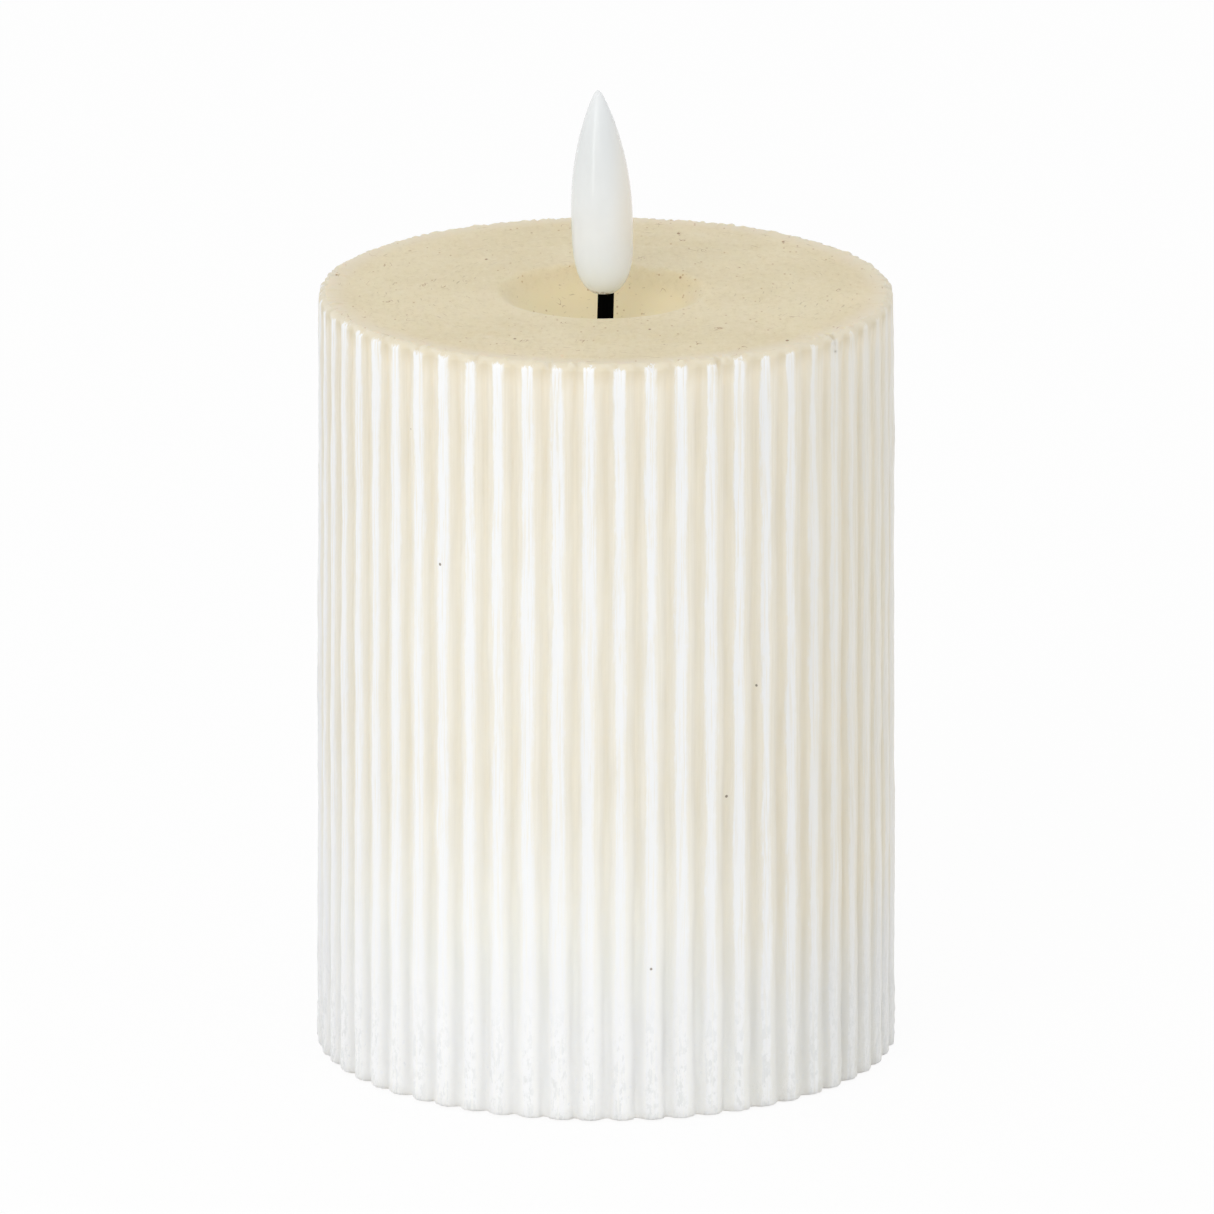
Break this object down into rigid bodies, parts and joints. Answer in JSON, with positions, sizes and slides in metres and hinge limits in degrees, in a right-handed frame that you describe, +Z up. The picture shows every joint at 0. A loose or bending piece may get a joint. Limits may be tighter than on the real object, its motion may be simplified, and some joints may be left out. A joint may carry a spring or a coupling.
{
  "type": "flameless led candle",
  "caption": "Fluted ivory wax pillar with a flame-shaped lens on a black wick, on a battery base with a hinged door and a slide switch.",
  "frame": {"origin": "centre of the base, in the plane that it stands on", "axes": "+Z up through the flame, -Y towards the viewer of the picture, +X to the viewer's right"},
  "size_m": [0.075, 0.075, 0.1274],
  "materials": {
    "ivory_wax": "pearly cast wax",
    "flame_white": "translucent satin",
    "black_sleeve": "matte",
    "base_plastic": "fine moulded texture",
    "slider_plastic": "satin",
    "cell_jacket": "printed film",
    "nickel_sheet": "nickel plated",
    "spring_wire": "nickel plated",
    "board_laminate": "solder mask",
    "chip_epoxy": "moulded epoxy",
    "crystal_can": "plated can",
    "capacitor_sleeve": "shrink film",
    "screw_steel": "zinc plated",
    "switch_metal": "tinned",
    "wafer_laminate": "phenolic board",
    "bushing_plastic": "satin",
    "led_epoxy": "clear epoxy",
    "tinned_wire": "tinned",
    "red_insulation": "satin",
    "black_insulation": "satin"
  },
  "bodies": {
    "candle": {"base_housing": "base_plastic", "battery_left": "cell_jacket", "battery_right": "cell_jacket", "battery_wire_black": "black_insulation", "battery_wire_red": "red_insulation", "board_screw_left": "screw_steel", "board_screw_right": "screw_steel", "bridge_plate": "nickel_sheet", "bridge_spring": "spring_wire", "capacitor": "capacitor_sleeve", "circuit_board": "board_laminate", "controller_chip": "chip_epoxy", "flame_lens": "flame_white", "led": "led_epoxy", "led_lead_anode": "tinned_wire", "led_lead_cathode": "tinned_wire", "led_wire_black": "black_insulation", "led_wire_red": "red_insulation", "negative_plate": "nickel_sheet", "negative_spring": "spring_wire", "positive_plate": "nickel_sheet", "resistor_1": "chip_epoxy", "resistor_2": "chip_epoxy", "splice_black": "black_insulation", "splice_red": "red_insulation", "switch_can": "switch_metal", "switch_terminal_1": "tinned_wire", "switch_terminal_2": "tinned_wire", "switch_terminal_3": "tinned_wire", "switch_terminal_4": "tinned_wire", "switch_wafer": "wafer_laminate", "timer_crystal": "crystal_can", "wax_shell": "ivory_wax", "wick_bushing": "bushing_plastic", "wick_sleeve": "black_sleeve"},
    "door": {"battery_door": "base_plastic"},
    "switch": {"switch_slider": "slider_plastic"}
  },
  "joints": [
    {"name": "door_hinge", "type": "hinge", "parent": "candle", "child": "door", "pos_m": [-0.0283, 0, 0.0003], "axis": [0, 1, 0], "range_deg": [0, 75]},
    {"name": "switch_slide", "type": "slide", "parent": "candle", "child": "switch", "axis": [1, 0, 0], "range_m": [-0.002, 0.002]}
  ]
}
